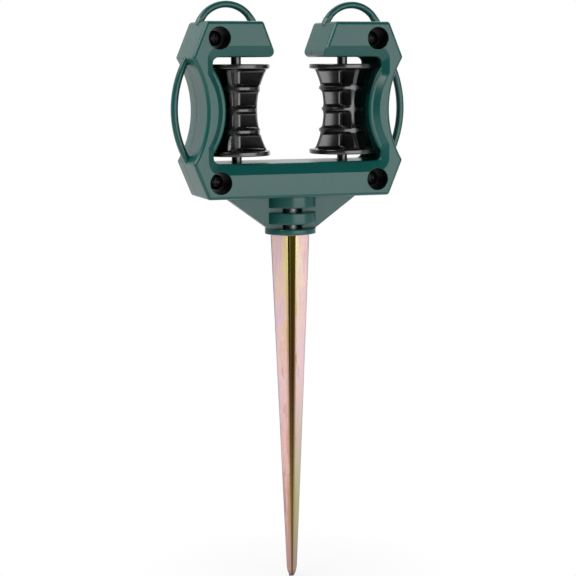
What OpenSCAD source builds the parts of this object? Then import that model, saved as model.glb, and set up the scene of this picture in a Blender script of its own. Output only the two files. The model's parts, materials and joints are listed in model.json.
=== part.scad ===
// Hose guide stake: a roller head that swivels on a ground blade.
// Millimetres. The origin is on the swivel axis, at the underside of the socket collar.
// +Z is up, +X is to the right and the front faces -Y.

/* [Head] */
// Depth of the head from front face to rear face
head_depth = 38; // [36:0.5:46]
// Half width at the four widest corners
corner_reach = 61.2; // [59:0.2:66]
// Half width along the top and bottom edges
edge_reach = 53; // [51.5:0.5:56]
// Half width at the waist of the sides
waist_reach = 53.1; // [50:0.1:54]
// Height between the upper and lower widest corners
corner_spread = 57.5; // [52:0.5:62]
// Height of each arm
arm_h = 19.5; // [18.5:0.5:23]
// Height of the cross bar
bar_h = 19.5; // [18.5:0.5:23]
// Gap between the arm tips along their lower edges
tip_gap = 26.8; // [22:0.2:32]
// Gap between the arm tips along their upper edges
tip_gap_top = 41.6; // [34:0.2:46]
// Half width of the opening that holds the rollers
opening_reach = 49; // [48.4:0.2:51]
// Half width between the lips of the two columns
lip_reach = 41.7; // [39:0.1:46]
// Radius of the bulge of each column lip
lip_bulge_r = 42; // [36:0.5:60]
// Wall thickness of the mouldings
wall = 3; // [2.4:0.1:3.4]
// Thickness of the front and rear walls along the lips
lip_t = 5; // [4:0.1:5.4]
// Width of the flare along the arms and the bar
flare_w = 6; // [3:0.1:6.5]
// Width of the flare at the sides of the opening
side_flare = 3.8; // [2:0.1:5]
// Width of the flare along the column lips
lip_flare = 5.3; // [4:0.1:6]
// Width of the ledge along the inner edge of the column lips
ledge_w = 2.2; // [1:0.1:3]
// Rise of that ledge towards the column
ledge_rise = 0.3; // [0.1:0.1:0.8]
// Depth of the flare round the opening
flare_d = 3; // [1.5:0.1:3.6]

/* [Hoops] */
// Radial thickness of the hoops
hoop_t = 3.8; // [3:0.1:5]
// Depth of the hoops
hoop_depth = 4.6; // [3:0.1:6]
// Outer radius of the arch on each arm
arch_r = 18.6; // [16:0.1:19.5]
// Rise of the arch above the arm
arch_rise = 11.5; // [9:0.1:14]
// Half width over the side bows
bow_reach = 68.9; // [67:0.1:76]

/* [Rollers] */
// Distance of each roller axis from the middle
roller_x = 31.4; // [30.5:0.1:32]
// Length of a roller over its flanges
roller_len = 50.5; // [44:0.5:64]
// Clearance between each flange and the head
flange_gap = 3.75; // [2:0.05:7]
// Diameter of the end flanges
flange_d = 37.6; // [30:0.2:38]
// Thickness of the end flanges
flange_t = 2.6; // [1.6:0.1:4]
// Diameter at the waist
waist_d = 23.5; // [16:0.1:25]
// Radius of the hourglass curve
hourglass_r = 48; // [42:0.5:70]
// Thickness of the inner discs
disc_t = 2; // [1.2:0.1:3]
// Distance between neighbouring discs
disc_pitch = 11.9; // [8:0.1:12]
// Thickness of the fins
fin_t = 2.4; // [1.4:0.1:3.4]
// Diameter of the core and trunnions
trunnion_d = 5.8; // [4:0.1:6.4]
// Length of each trunnion in its bearing
bearing_len = 6; // [4:0.1:7]

/* [Neck] */
// Radius of the socket rings
ring_r = 14.5; // [12:0.1:16]
// Height of the bottom collar
collar_h = 3.2; // [2.6:0.1:6]
// Height of the two rings above the collar
ring_h = 6.5; // [5:0.1:9]
// Height of the windows between the rings
window_h = 2.7; // [1.5:0.1:4]
// Half width of the windows that show the post
window_reach = 5.4; // [5.2:0.1:11]
// Half width of the gusset where it meets the head
gusset_reach = 39.5; // [30:0.5:46]
// Distance of the gusset's front face from the swivel axis
gusset_front = 4; // [2.5:0.1:7]
// Thickness of the gusset
gusset_t = 5.4; // [4:0.1:6.5]
// Half width of the web behind the rings
web_reach = 11; // [8:0.1:11.5]
// Thickness of the web behind the rings
web_t = 3.5; // [2:0.1:6]

/* [Screws] */
// Distance of the screws from the middle
screw_x = 45.9; // [45:0.1:47]
// Distance of the screws from the top and bottom edges
screw_inset = 9.2; // [8.6:0.1:10]
// Diameter of the counterbores
counterbore_d = 12.2; // [9.5:0.1:12.6]
// Depth of the counterbores
counterbore_depth = 12.5; // [6:0.1:13.5]
// Core diameter of the screws
screw_d = 4; // [3:0.1:4.4]
// Length of the screws under the head
screw_len = 21; // [18:0.5:22]
// Diameter of the screw heads
screw_head_d = 8.4; // [7:0.1:9]
// Height of the screw heads
screw_head_h = 2.8; // [2:0.1:3.4]
// Length across the cross recess
recess_len = 4.6; // [3:0.1:5.4]
// Width of the cross recess
recess_w = 1.1; // [0.6:0.1:1.5]
// Depth of the cross recess
recess_depth = 1.6; // [0.8:0.1:1.8]

/* [Stake] */
// Length of the blade below the collar
blade_len = 203; // [140:1:300]
// Width of the blade under the collar
blade_w = 23.2; // [18:0.2:26]
// Width of the blade where its point begins
point_w = 6.4; // [4:0.1:9]
// Length of the rounded point
point_len = 8; // [5:0.5:20]
// Thickness of the sheet
sheet_t = 1.8; // [1.2:0.1:2.4]
// Width of the pressed groove under the collar
groove_w = 4.6; // [3:0.1:7]
// Depth of the pressed groove under the collar
groove_depth = 3.4; // [2:0.1:5]
// Distance the flanges sweep back under the collar
flange_sweep = 3; // [1:0.1:5]
// Diameter of the pivot post
post_d = 9; // [7:0.1:10]
// Diameter of the post head in the cross bar
post_head_d = 13.6; // [11:0.1:16]
// Height of the post head
post_head_h = 2.6; // [2:0.1:4]
// Diameter of the shoulder under the collar
shoulder_d = 13; // [11:0.1:20]
// Thickness of the shoulder
shoulder_t = 0.8; // [0.6:0.1:2]

/* [Fits] */
// Radial clearance of turning fits
running_gap = 0.08; // [0.03:0.01:0.1]
// End clearance of turning pieces
end_gap = 0.3; // [0.1:0.05:0.5]
// Clearance round the screws
screw_gap = 0.05; // [0.03:0.01:0.1]

/* [Hidden] */
$fn = 64;

// Overrun of every cut past the face that it opens
overrun = 1;
// Depth by which joined shapes sink into each other
bite = 0.5;
// Rounding of the outline's outer corners, the arm tips and the opening's corners
edge_round = 2;
tip_round = 2.5;
opening_round = 3.5;
// Bevel along the hoops
hoop_bevel = 0.9;
// Wall of the bosses round the pilot bores
pilot_wall = 3;
// Rest position of the fins, turned from the front
left_turn = -31;
right_turn = 10.5;
// Steps of a rounded corner and of the blade's point
round_steps = 6;
point_steps = 5;
// Share of the head radius that the screw head's dome takes as its sphere radius
dome_share = 1.35;
// Share of the point's length at which its last section lies
point_end_share = 0.98;
// Share of the flare's depth that its end slices take
slice_share = 0.01;

// Heights
neck_h = collar_h + 2 * (window_h + ring_h);
head_bottom = neck_h;
opening_h = roller_len + 2 * flange_gap;
bar_top = head_bottom + bar_h;
arm_under = bar_top + opening_h;
head_top = arm_under + arm_h;
mid_z = (bar_top + arm_under) / 2;
low_corner = mid_z - corner_spread / 2;
high_corner = mid_z + corner_spread / 2;

// Depths
front_y = -head_depth / 2;
rear_y = head_depth / 2;
post_r = post_d / 2;
parting_y = post_r + running_gap;

// Side curves
waist_sag = corner_reach - waist_reach;
waist_r = (pow(corner_spread / 2, 2) + pow(waist_sag, 2)) / (2 * waist_sag);
waist_cx = waist_reach + waist_r;
lip_cx = lip_reach + lip_bulge_r;
bow_sag = bow_reach - corner_reach;
bow_half = corner_spread / 2 + bite;
bow_r = (pow(bow_half, 2) + pow(bow_sag, 2)) / (2 * bow_sag);
arch_x = (edge_reach + tip_gap_top / 2) / 2;

// Neck
foot_reach = sqrt(pow(ring_r, 2) - pow(gusset_front, 2)) - bite;

// Rollers and bearings
trunnion_r = trunnion_d / 2;
bearing_r = trunnion_r + running_gap;
block_half = bearing_r + wall;
roller_total = opening_h + 2 * (bearing_len - end_gap);

// Screws
boss_r = counterbore_d / 2 + wall / 2;
seat_y = front_y + counterbore_depth;
screw_bore_r = screw_d / 2 + screw_gap;
pilot_boss_r = screw_bore_r + pilot_wall;
screw_low = head_bottom + screw_inset;
screw_high = head_top - screw_inset;

// Stake
shoulder_top = -end_gap;
blade_top = shoulder_top - shoulder_t;
post_head_z = head_bottom + wall + end_gap;

green = [0.03, 0.3, 0.27];
dark_green = [0.02, 0.26, 0.24];
black = [0.07, 0.07, 0.07];
steel = [0.75, 0.75, 0.77];
yellow_zinc = [0.85, 0.74, 0.6];

// Unit vector along v
function unit(v) = v / norm(v);

// Points of an arc of radius r that rounds the corner v between its neighbours p and q
function corner_arc(p, v, q, r) =
    let (
        to_p = unit(p - v),
        to_q = unit(q - v),
        half = acos(to_p * to_q) / 2,
        centre = v + unit(to_p + to_q) * r / sin(half),
        start = v + to_p * r / tan(half) - centre,
        end = v + to_q * r / tan(half) - centre,
        a0 = atan2(start[1], start[0]),
        sweep = (atan2(end[1], end[0]) - a0 + 540) % 360 - 180
    )
    [for (i = [0:round_steps])
        let (a = a0 + sweep * i / round_steps)
        centre + r * [cos(a), sin(a)]];

function flat(v) = [v[0], v[1]];

// Outline whose corners [x, z, radius] are rounded
function rounded(corners) =
    let (n = len(corners))
    [
        for (i = [0:n - 1])
            let (v = corners[i], p = corners[(i + n - 1) % n], q = corners[(i + 1) % n])
            each v[2] > 0 ? corner_arc(flat(p), flat(v), flat(q), v[2]) : [flat(v)]
    ];

// Corners of one side followed by the same corners mirrored
function both_sides(corners) =
    let (n = len(corners))
    concat(corners, [for (i = [n - 1:-1:0]) [-corners[i][0], corners[i][1], corners[i][2]]]);

// Half width of the slanted outer side of an arm at a height, drawn in by an inset
function arm_side(z, inset) =
    let (slope = (corner_reach - edge_reach) / (head_top - high_corner))
    edge_reach + (head_top - z) * slope - inset * norm([1, slope]);

// Half width of the slanted outer side of the bar at a height, drawn in by an inset
function bar_side(z, inset) =
    let (slope = (corner_reach - edge_reach) / (low_corner - head_bottom))
    edge_reach + (z - head_bottom) * slope - inset * norm([1, slope]);

// Half width of the slanted arm tip at a height, moved outwards by an inset
function tip_side(z, inset) =
    let (slope = (tip_gap_top - tip_gap) / 2 / arm_h)
    tip_gap / 2 + (z - arm_under) * slope + inset * norm([1, slope]);

// Extrude an outline in X and Z from the depth y0 back to y1
module along_y(y0, y1)
    translate([0, y1, 0])
    rotate([90, 0, 0])
    linear_extrude(y1 - y0)
    children();

// Round bar along Y
module bar_y(x, z, r, y0, y1)
    translate([x, y1, z])
    rotate([90, 0, 0])
    cylinder(r = r, h = y1 - y0);

// Box between two corners
module span(a, b)
    translate(a)
    cube(b - a);

module both_x() {
    children();
    mirror([1, 0, 0]) children();
}

// C shaped outline of the head, with hollow outer sides
module head_outline()
    difference() {
        polygon(rounded(both_sides([
            [edge_reach, head_bottom, edge_round],
            [corner_reach, low_corner, 0],
            [corner_reach, high_corner, 0],
            [edge_reach, head_top, edge_round],
            [tip_gap_top / 2, head_top, edge_round],
            [tip_gap / 2, arm_under, tip_round],
            [opening_reach, arm_under, opening_round],
            [opening_reach, bar_top, opening_round]
        ])));
        for (side = [-1, 1])
            translate([side * waist_cx, mid_z])
            circle(r = waist_r);
    }

// Segment of the column lip that stands in towards the roller
module lip_outline()
    intersection() {
        translate([lip_cx, mid_z])
        circle(r = lip_bulge_r);
        translate([lip_reach - overrun, bar_top])
        square([opening_reach - lip_reach + 2 * overrun, opening_h]);
    }

// Opening outline grown sideways by gx and upwards and downwards by gz
module opening_outline(gx, gz)
    polygon(rounded(both_sides([
        [opening_reach + gx, bar_top - gz, opening_round + gx],
        [opening_reach + gx, arm_under + gz, opening_round + gx]
    ])));

// Bulge of a column lip, about Z from the depth of the flare: a ledge, then a slope out of the front face
module lip_bulge() {
    ledge_r = lip_bulge_r - ledge_w;
    slope_h = flare_d - ledge_rise;
    slope_w = (lip_flare - ledge_w) * (slope_h + overrun) / slope_h;
    cylinder(r1 = lip_bulge_r, r2 = ledge_r, h = ledge_rise);
    translate([0, 0, ledge_rise])
    cylinder(r1 = ledge_r, r2 = ledge_r - slope_w, h = slope_h + overrun);
}

// Cutter for the flare in the front face, which leaves the bulge of the lips
module flare_cut() {
    grow = (flare_d + overrun) / flare_d;
    slice = flare_d * slice_share;
    difference() {
        hull() {
            along_y(front_y - overrun, front_y - overrun + slice)
            opening_outline(side_flare * grow, flare_w * grow);
            along_y(front_y + flare_d - slice, front_y + flare_d)
            opening_outline(0, 0);
        }
        both_x()
        translate([lip_cx, front_y + flare_d, mid_z])
        rotate([90, 0, 0])
        lip_bulge();
    }
}

// Space in the columns that takes the outer half of the rollers
module channel_outline()
    difference() {
        translate([-corner_reach, bar_top])
        square([2 * corner_reach, opening_h]);
        for (side = [-1, 1])
            translate([side * waist_cx, mid_z])
            circle(r = waist_r + wall);
    }

// Hollow of an arm
module arm_hollow()
    polygon([
        [tip_side(arm_under + wall, wall), arm_under + wall],
        [arm_side(arm_under + wall, wall), arm_under + wall],
        [arm_side(head_top - wall, wall), head_top - wall],
        [tip_side(head_top - wall, wall), head_top - wall]
    ]);

// Hollow of the cross bar
module bar_hollow()
    polygon([
        [-bar_side(head_bottom + wall, wall), head_bottom + wall],
        [bar_side(head_bottom + wall, wall), head_bottom + wall],
        [bar_side(bar_top - wall, wall), bar_top - wall],
        [-bar_side(bar_top - wall, wall), bar_top - wall]
    ]);

// Hollows of the arms and the bar between two depths, less the screw bosses and the bearing blocks
module hollows(y0, y1, boss)
    difference() {
        along_y(y0, y1)
        union() {
            both_x() arm_hollow();
            bar_hollow();
        }
        for (side = [-1, 1]) {
            for (z = [screw_low, screw_high])
                bar_y(side * screw_x, z, boss, y0 - overrun, y1 + overrun);
            span(
                [side * roller_x - block_half, y0 - overrun, bar_top - bearing_len - wall],
                [side * roller_x + block_half, y1 + overrun, bar_top]
            );
            span(
                [side * roller_x - block_half, y0 - overrun, arm_under],
                [side * roller_x + block_half, y1 + overrun, arm_under + bearing_len + wall]
            );
        }
    }

// Round seat of a shaft along Z with a throat that opens to the parting face
module throat_bore(x, r, throat, z0, z1) {
    translate([x, 0, z0])
    cylinder(r = r, h = z1 - z0);
    span([x - throat / 2, 0, z0], [x + throat / 2, parting_y + overrun, z1]);
}

// Section of a hoop, with bevelled edges, between two radii
module hoop_section(r) {
    half = hoop_depth / 2;
    polygon([
        [r - hoop_t + hoop_bevel, -half],
        [r - hoop_bevel, -half],
        [r, hoop_bevel - half],
        [r, half - hoop_bevel],
        [r - hoop_bevel, half],
        [r - hoop_t + hoop_bevel, half],
        [r - hoop_t, half - hoop_bevel],
        [r - hoop_t, hoop_bevel - half]
    ]);
}

// Ring of the hoop section about an axis along Y, in the plane of the rollers
module hoop_ring(x, z, r)
    translate([x, 0, z])
    rotate([90, 0, 0])
    rotate_extrude()
    hoop_section(r);

// Arch on the right arm
module arch()
    intersection() {
        hoop_ring(arch_x, head_top + arch_rise - arch_r, arch_r);
        span(
            [0, front_y, head_top - wall / 2],
            [corner_reach, rear_y, head_top + arch_rise + overrun]
        );
    }

// Bow on the right side
module bow()
    intersection() {
        hoop_ring(bow_reach - bow_r, mid_z, bow_r);
        span(
            [corner_reach - hoop_t, front_y, low_corner - hoop_t],
            [bow_reach + overrun, rear_y, high_corner + hoop_t]
        );
    }

// Collar and socket rings between two depths
module rings(y0, y1)
    intersection() {
        union() {
            cylinder(r = ring_r, h = collar_h);
            for (i = [0, 1])
                translate([0, 0, collar_h + window_h + i * (ring_h + window_h)])
                cylinder(r = ring_r, h = ring_h + i * wall);
        }
        span([-ring_r - overrun, y0, -overrun], [ring_r + overrun, y1, head_bottom + wall + overrun]);
    }

// Gusset that carries the rings under the head
module gusset()
    along_y(-gusset_front, gusset_t - gusset_front)
    polygon(rounded(both_sides([
        [foot_reach, collar_h - bite, 0],
        [gusset_reach, head_bottom, 0],
        [gusset_reach, head_bottom + wall, 0]
    ])));

// Front half of the head
module front_housing()
    color(green)
    difference() {
        union() {
            along_y(front_y, parting_y) head_outline();
            along_y(front_y, front_y + lip_t)
            both_x() lip_outline();
            both_x() {
                arch();
                bow();
            }
            rings(-ring_r - overrun, parting_y);
            gusset();
        }
        flare_cut();
        along_y(front_y + lip_t, parting_y + overrun) channel_outline();
        hollows(front_y + wall, parting_y + overrun, boss_r);
        for (i = [0, 1])
            span(
                [-window_reach, -ring_r - overrun, collar_h + i * (ring_h + window_h)],
                [window_reach, 0, collar_h + window_h + i * (ring_h + window_h)]
            );
        throat_bore(0, post_r + running_gap, post_d, -overrun, head_bottom + wall + overrun);
        for (side = [-1, 1]) {
            throat_bore(side * roller_x, bearing_r, trunnion_d, bar_top - bearing_len, bar_top + overrun);
            throat_bore(side * roller_x, bearing_r, trunnion_d, arm_under - overrun, arm_under + bearing_len);
            for (z = [screw_low, screw_high]) {
                bar_y(side * screw_x, z, counterbore_d / 2, front_y - overrun, seat_y);
                bar_y(side * screw_x, z, screw_bore_r, front_y, parting_y + overrun);
            }
        }
    }

// Keeper that closes the throat behind a trunnion
module keeper(x, z0, z1)
    span(
        [x - trunnion_r + running_gap, bearing_r, z0],
        [x + trunnion_r - running_gap, parting_y + wall, z1]
    );

// Rear half of the head
module rear_housing()
    color(dark_green)
    difference() {
        union() {
            difference() {
                union() {
                    along_y(parting_y, rear_y) head_outline();
                    along_y(rear_y - lip_t, rear_y)
                    both_x() lip_outline();
                    rings(parting_y, ring_r + overrun);
                    span([-web_reach, parting_y, 0], [web_reach, parting_y + web_t, head_bottom + wall]);
                }
                mirror([0, 1, 0]) flare_cut();
                along_y(parting_y - overrun, rear_y - lip_t) channel_outline();
                hollows(parting_y - overrun, rear_y - wall, pilot_boss_r);
            }
            for (side = [-1, 1]) {
                keeper(side * roller_x, bar_top - bearing_len + end_gap, bar_top);
                keeper(side * roller_x, arm_under, arm_under + bearing_len - end_gap);
            }
        }
        for (side = [-1, 1], z = [screw_low, screw_high])
            bar_y(side * screw_x, z, screw_bore_r, parting_y - overrun, seat_y + screw_len + end_gap);
    }

// Hourglass body of a roller
module hourglass()
    rotate_extrude()
    difference() {
        translate([0, -roller_len / 2])
        square([flange_d / 2, roller_len]);
        translate([waist_d / 2 + hourglass_r, 0])
        circle(r = hourglass_r);
    }

// Roller with end flanges, discs, four fins, core and trunnions
module roller(side, turn)
    color(black)
    translate([side * roller_x, 0, mid_z])
    rotate([0, 0, turn]) {
        cylinder(r = trunnion_r, h = roller_total, center = true);
        for (end = [-1, 1])
            translate([0, 0, end * (roller_len - flange_t) / 2])
            cylinder(r = flange_d / 2, h = flange_t, center = true);
        intersection() {
            hourglass();
            union() {
                for (i = [-1:1])
                    translate([0, 0, i * disc_pitch])
                    cylinder(r = flange_d, h = disc_t, center = true);
                for (a = [0, 90])
                    rotate([0, 0, a])
                    cube([fin_t, 2 * flange_d, roller_len - flange_t], center = true);
            }
        }
    }

module left_roller() roller(-1, left_turn);

module right_roller() roller(1, right_turn);

// Pan head screw, driven from the front
module screw(side, z)
    color(steel)
    translate([side * screw_x, seat_y, z])
    rotate([-90, 0, 0]) {
        cylinder(r = screw_d / 2, h = screw_len);
        difference() {
            intersection() {
                translate([0, 0, -screw_head_h])
                cylinder(r = screw_head_d / 2, h = screw_head_h);
                translate([0, 0, dome_share * screw_head_d / 2 - screw_head_h])
                sphere(r = dome_share * screw_head_d / 2);
            }
            for (a = [0, 90])
                rotate([0, 0, a])
                translate([-recess_len / 2, -recess_w / 2, -screw_head_h - overrun])
                cube([recess_len, recess_w, recess_depth + overrun]);
        }
    }

module top_left_screw() screw(-1, screw_high);

module top_right_screw() screw(1, screw_high);

module bottom_left_screw() screw(-1, screw_low);

module bottom_right_screw() screw(1, screw_low);

// Post that the head swivels on
module pivot_post()
    color(yellow_zinc)
    rotate_extrude()
    polygon([
        [0, blade_top],
        [shoulder_d / 2, blade_top],
        [shoulder_d / 2, shoulder_top],
        [post_r, shoulder_top],
        [post_r, post_head_z],
        [post_head_d / 2, post_head_z],
        [post_head_d / 2, post_head_z + post_head_h],
        [0, post_head_z + post_head_h]
    ]);

// Section of the blade at a height, with its pressed form scaled by k
function blade_section(z, k) =
    let (
        front = -(groove_depth * k + sheet_t) / 2,
        line = [
            [-blade_w / 2, flange_sweep],
            [-groove_w / 2, 0],
            [0, groove_depth],
            [groove_w / 2, 0],
            [blade_w / 2, flange_sweep]
        ]
    )
    concat(
        [for (p = line) [p[0] * k, front + p[1] * k, z]],
        [for (i = [len(line) - 1:-1:0]) [line[i][0] * k, front + line[i][1] * k + sheet_t, z]]
    );

// Pressed blade, tapering to a rounded point
module ground_stake() {
    point_k = point_w / blade_w;
    levels = concat(
        [[blade_top, 1]],
        [
            for (i = [0:point_steps])
                let (u = point_end_share * i / point_steps)
                [-blade_len + point_len * (1 - u), point_k * sqrt(1 - u * u)]
        ]
    );
    sections = [for (level = levels) blade_section(level[0], level[1])];
    n = len(sections[0]);
    last = (len(levels) - 1) * n;
    sides = [
        for (s = [0:len(levels) - 2], i = [0:n - 1])
            let (a = s * n + i, b = s * n + (i + 1) % n)
            each [[a, b, a + n], [b, b + n, a + n]]
    ];
    caps = [
        for (i = [0:n / 2 - 2])
            each [
                [i, n - 1 - i, i + 1],
                [n - 1 - i, n - 2 - i, i + 1],
                [last + i, last + i + 1, last + n - 1 - i],
                [last + n - 1 - i, last + i + 1, last + n - 2 - i]
            ]
    ];
    color(yellow_zinc)
    polyhedron([for (section = sections) each section], concat(sides, caps));
}

front_housing();
rear_housing();
left_roller();
right_roller();
top_left_screw();
top_right_screw();
bottom_left_screw();
bottom_right_screw();
pivot_post();
ground_stake();
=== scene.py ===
"""Studio scene of a garden hose guide: a roller head that swivels on a pressed ground stake."""

import json
import logging
import math
from collections.abc import Callable, Iterator, Sequence
from contextlib import contextmanager
from dataclasses import dataclass
from enum import Enum
from typing import Any, ClassVar

import bmesh
import bpy
from mathutils import Matrix, Vector
from mathutils.bvhtree import BVHTree


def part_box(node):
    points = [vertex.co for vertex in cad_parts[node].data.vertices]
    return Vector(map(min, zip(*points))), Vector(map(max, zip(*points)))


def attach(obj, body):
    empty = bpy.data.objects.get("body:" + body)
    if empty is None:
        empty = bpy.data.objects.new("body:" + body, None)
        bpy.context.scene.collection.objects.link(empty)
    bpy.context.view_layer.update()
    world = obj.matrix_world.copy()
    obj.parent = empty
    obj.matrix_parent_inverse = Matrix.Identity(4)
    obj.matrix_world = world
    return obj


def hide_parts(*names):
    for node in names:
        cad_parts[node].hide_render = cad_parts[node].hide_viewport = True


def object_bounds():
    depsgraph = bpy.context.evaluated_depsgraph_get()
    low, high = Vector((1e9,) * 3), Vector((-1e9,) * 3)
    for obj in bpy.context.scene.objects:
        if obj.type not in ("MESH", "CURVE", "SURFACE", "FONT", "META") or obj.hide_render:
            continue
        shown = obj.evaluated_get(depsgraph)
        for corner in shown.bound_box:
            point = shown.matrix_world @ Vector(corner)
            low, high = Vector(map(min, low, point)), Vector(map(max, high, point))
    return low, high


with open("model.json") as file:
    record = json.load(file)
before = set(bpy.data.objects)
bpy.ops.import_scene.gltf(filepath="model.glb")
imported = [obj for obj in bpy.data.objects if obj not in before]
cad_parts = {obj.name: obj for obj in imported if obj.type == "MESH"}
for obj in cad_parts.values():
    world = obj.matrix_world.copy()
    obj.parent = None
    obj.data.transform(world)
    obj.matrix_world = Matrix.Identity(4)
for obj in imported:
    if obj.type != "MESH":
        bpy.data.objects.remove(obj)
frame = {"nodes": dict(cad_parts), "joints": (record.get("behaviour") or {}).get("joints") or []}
CAD_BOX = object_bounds()

LOG = logging.getLogger("hose_guide")
MM = 0.001
ROWS = ("top", "bottom")
SIDES = ("left", "right")
WHITE = "FFFFFF"
# Corners of a solid closer than this become one, and so do its faces within this angle.
MERGE = 0.002 * MM
FLAT_DEGREES = 0.3
# Two heights closer than this are the same.
NEAR = 0.01 * MM
# A face looks a given way when the cosine between its normal and that way is above this.
FACING = 0.99

Piece = bpy.types.Object
Material = bpy.types.Material
Node = bpy.types.Node
Socket = bpy.types.NodeSocket
Source = Node | Socket
Tree = bpy.types.NodeTree
Edge = bmesh.types.BMEdge


class Part(Enum):
    """Kinds of mesh element that can be selected."""

    VERTS = "VERT"
    EDGES = "EDGE"
    FACES = "FACE"


class Body(Enum):
    """Moving bodies that the pieces ride on."""

    STAKE = "stake"
    HEAD = "head"
    LEFT_ROLLER = "left_roller_body"
    RIGHT_ROLLER = "right_roller_body"


class Slot(Enum):
    """Material slots of the record."""

    GREEN = "green_plastic"
    BLACK = "black_plastic"
    STEEL = "screw_steel"
    ZINC = "yellow_zinc"


def linear(hex_colour: str) -> tuple[float, float, float, float]:
    """Turn an sRGB hex colour into linear light.

    Args:
        hex_colour: Six hex digits, without a mark in front.

    Returns:
        Red, green, blue and an alpha of 1.
    """
    values = [int(hex_colour[i:i + 2], 16) / 255 for i in (0, 2, 4)]
    red, green, blue = (v / 12.92 if v <= 0.04045 else ((v + 0.055) / 1.055) ** 2.4 for v in values)
    return red, green, blue, 1.0


def feed(tree: Tree, node: Node, links: dict[Any, Source]) -> None:
    """Link sources to the inputs of a node.

    Args:
        tree: Tree of the node.
        node: Node that is fed.
        links: Sources by the name or place of an input. A node stands for its first open output.
    """
    for name, source in links.items():
        if isinstance(source, Node):
            source = next(output for output in source.outputs if output.enabled)
        tree.links.new(source, node.inputs[name])


def add_node(
    tree: Tree,
    kind: str,
    settings: dict[Any, Any] | None = None,
    links: dict[Any, Source] | None = None,
) -> Node:
    """Add a shader node with its settings and links.

    Args:
        tree: Tree that takes the node.
        kind: Type name of the node, without ShaderNode in front.
        settings: Values by the name or place of an input, or by the name of a property.
        links: Sources by the name or place of an input.

    Returns:
        The new node.
    """
    node = tree.nodes.new("ShaderNode" + kind)
    for name, value in (settings or {}).items():
        if isinstance(name, int) or name in node.inputs:
            node.inputs[name].default_value = value
        else:
            setattr(node, name, value)
    feed(tree, node, links or {})
    return node


def new_material(name: str, constants: dict[str, Any]) -> tuple[Material, Node]:
    """Start a material with the values that are the same all over its surface.

    Args:
        name: Name of the material.
        constants: Those values, by the name of the shader's socket.

    Returns:
        The material and its shader.
    """
    material = bpy.data.materials.new(name)
    material.use_nodes = True
    shader = material.node_tree.nodes["Principled BSDF"]
    for socket, value in constants.items():
        shader.inputs[socket].default_value = value
    return material, shader


def set_ramp(node: Node, stops: Sequence[tuple[float, str]]) -> None:
    """Give a colour ramp its stops.

    Args:
        node: Colour ramp node.
        stops: Position and hex colour of each stop, in order.
    """
    elements = node.color_ramp.elements
    while len(elements) < len(stops):
        elements.new(1.0)
    for element, (position, colour) in zip(elements, stops):
        element.position = position
        element.color = linear(colour)


def activate(piece: Piece) -> None:
    """Make a piece the only selected and active object.

    Args:
        piece: Piece that the next operators act on.
    """
    bpy.ops.object.select_all(action="DESELECT")
    bpy.context.view_layer.objects.active = piece
    piece.select_set(True)


@contextmanager
def editing(piece: Piece) -> Iterator[None]:
    """Hold a piece in edit mode with nothing selected.

    Args:
        piece: Piece that is edited.

    Returns:
        Context inside which the piece is in edit mode.
    """
    activate(piece)
    bpy.ops.object.mode_set(mode="EDIT")
    bpy.ops.mesh.select_all(action="DESELECT")
    yield
    bpy.ops.object.mode_set(mode="OBJECT")


def pick(piece: Piece, part: Part, test: Callable[[Any], bool]) -> None:
    """Select the elements of a piece in edit mode that pass a test.

    Args:
        piece: Piece that is in edit mode.
        part: Kind of element.
        test: Says for one element whether it is wanted.
    """
    bpy.ops.mesh.select_mode(type=part.value)
    bpy.ops.mesh.select_all(action="DESELECT")
    mesh = bmesh.from_edit_mesh(piece.data)
    group = {Part.VERTS: mesh.verts, Part.EDGES: mesh.edges, Part.FACES: mesh.faces}[part]
    for element in [element for element in group if test(element)]:
        element.select_set(True)
    bmesh.update_edit_mesh(piece.data)


def apply_modifier(piece: Piece, kind: str, **settings: Any) -> None:
    """Add a modifier to a piece and apply it at once.

    Args:
        piece: Piece that is changed.
        kind: Type of the modifier.
        settings: Its properties.
    """
    activate(piece)
    modifier = piece.modifiers.new(kind.title(), kind)
    for name, value in settings.items():
        setattr(modifier, name, value)
    bpy.ops.object.modifier_apply(modifier=modifier.name)


def round_edges(piece: Piece, width: float, degrees: float, segments: int = 2) -> None:
    """Round the edges of a piece that are sharper than an angle.

    Args:
        piece: Piece that is changed.
        width: Width of the rounding.
        degrees: Edges flatter than this stay as they are.
        segments: Facets across the rounding.
    """
    apply_modifier(
        piece,
        "BEVEL",
        width=width,
        segments=segments,
        limit_method="ANGLE",
        angle_limit=math.radians(degrees),
        use_clamp_overlap=True,
    )


def smooth(piece: Piece, degrees: float) -> None:
    """Shade a piece smooth up to an edge angle and let its large faces lead the normals.

    Args:
        piece: Piece that is shaded.
        degrees: Edges sharper than this stay sharp.
    """
    activate(piece)
    bpy.ops.object.shade_smooth_by_angle(angle=math.radians(degrees))
    apply_modifier(piece, "WEIGHTED_NORMAL", keep_sharp=True)


def copy_of_node(node: str, name: str) -> Piece:
    """Copy a solid of the frame as a clean mesh with whole faces.

    Args:
        node: Node that is copied.
        name: Name of the copy.

    Returns:
        The copy, which has its own mesh and no parent.
    """
    piece = bpy.data.objects.new(name, frame["nodes"][node].data.copy())
    bpy.context.scene.collection.objects.link(piece)
    piece.data.materials.clear()
    with editing(piece):
        bpy.ops.mesh.select_all(action="SELECT")
        bpy.ops.mesh.customdata_custom_splitnormals_clear()
        bpy.ops.mesh.remove_doubles(threshold=MERGE)
        bpy.ops.mesh.dissolve_limited(angle_limit=math.radians(FLAT_DEGREES))
    return piece


def seat(piece: Piece, node: str, body: Body, material: Material) -> None:
    """Let a finished piece stand for its node, ride on its body and take its finish.

    Args:
        piece: Finished piece.
        node: Node that it replaces.
        body: Body that it rides on.
        material: Finish of the piece.
    """
    piece.data.materials.clear()
    piece.data.materials.append(material)
    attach(piece, body.value)
    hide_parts(node)
    LOG.info("%s: %d faces, on %s", piece.name, len(piece.data.polygons), body.value)


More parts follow.
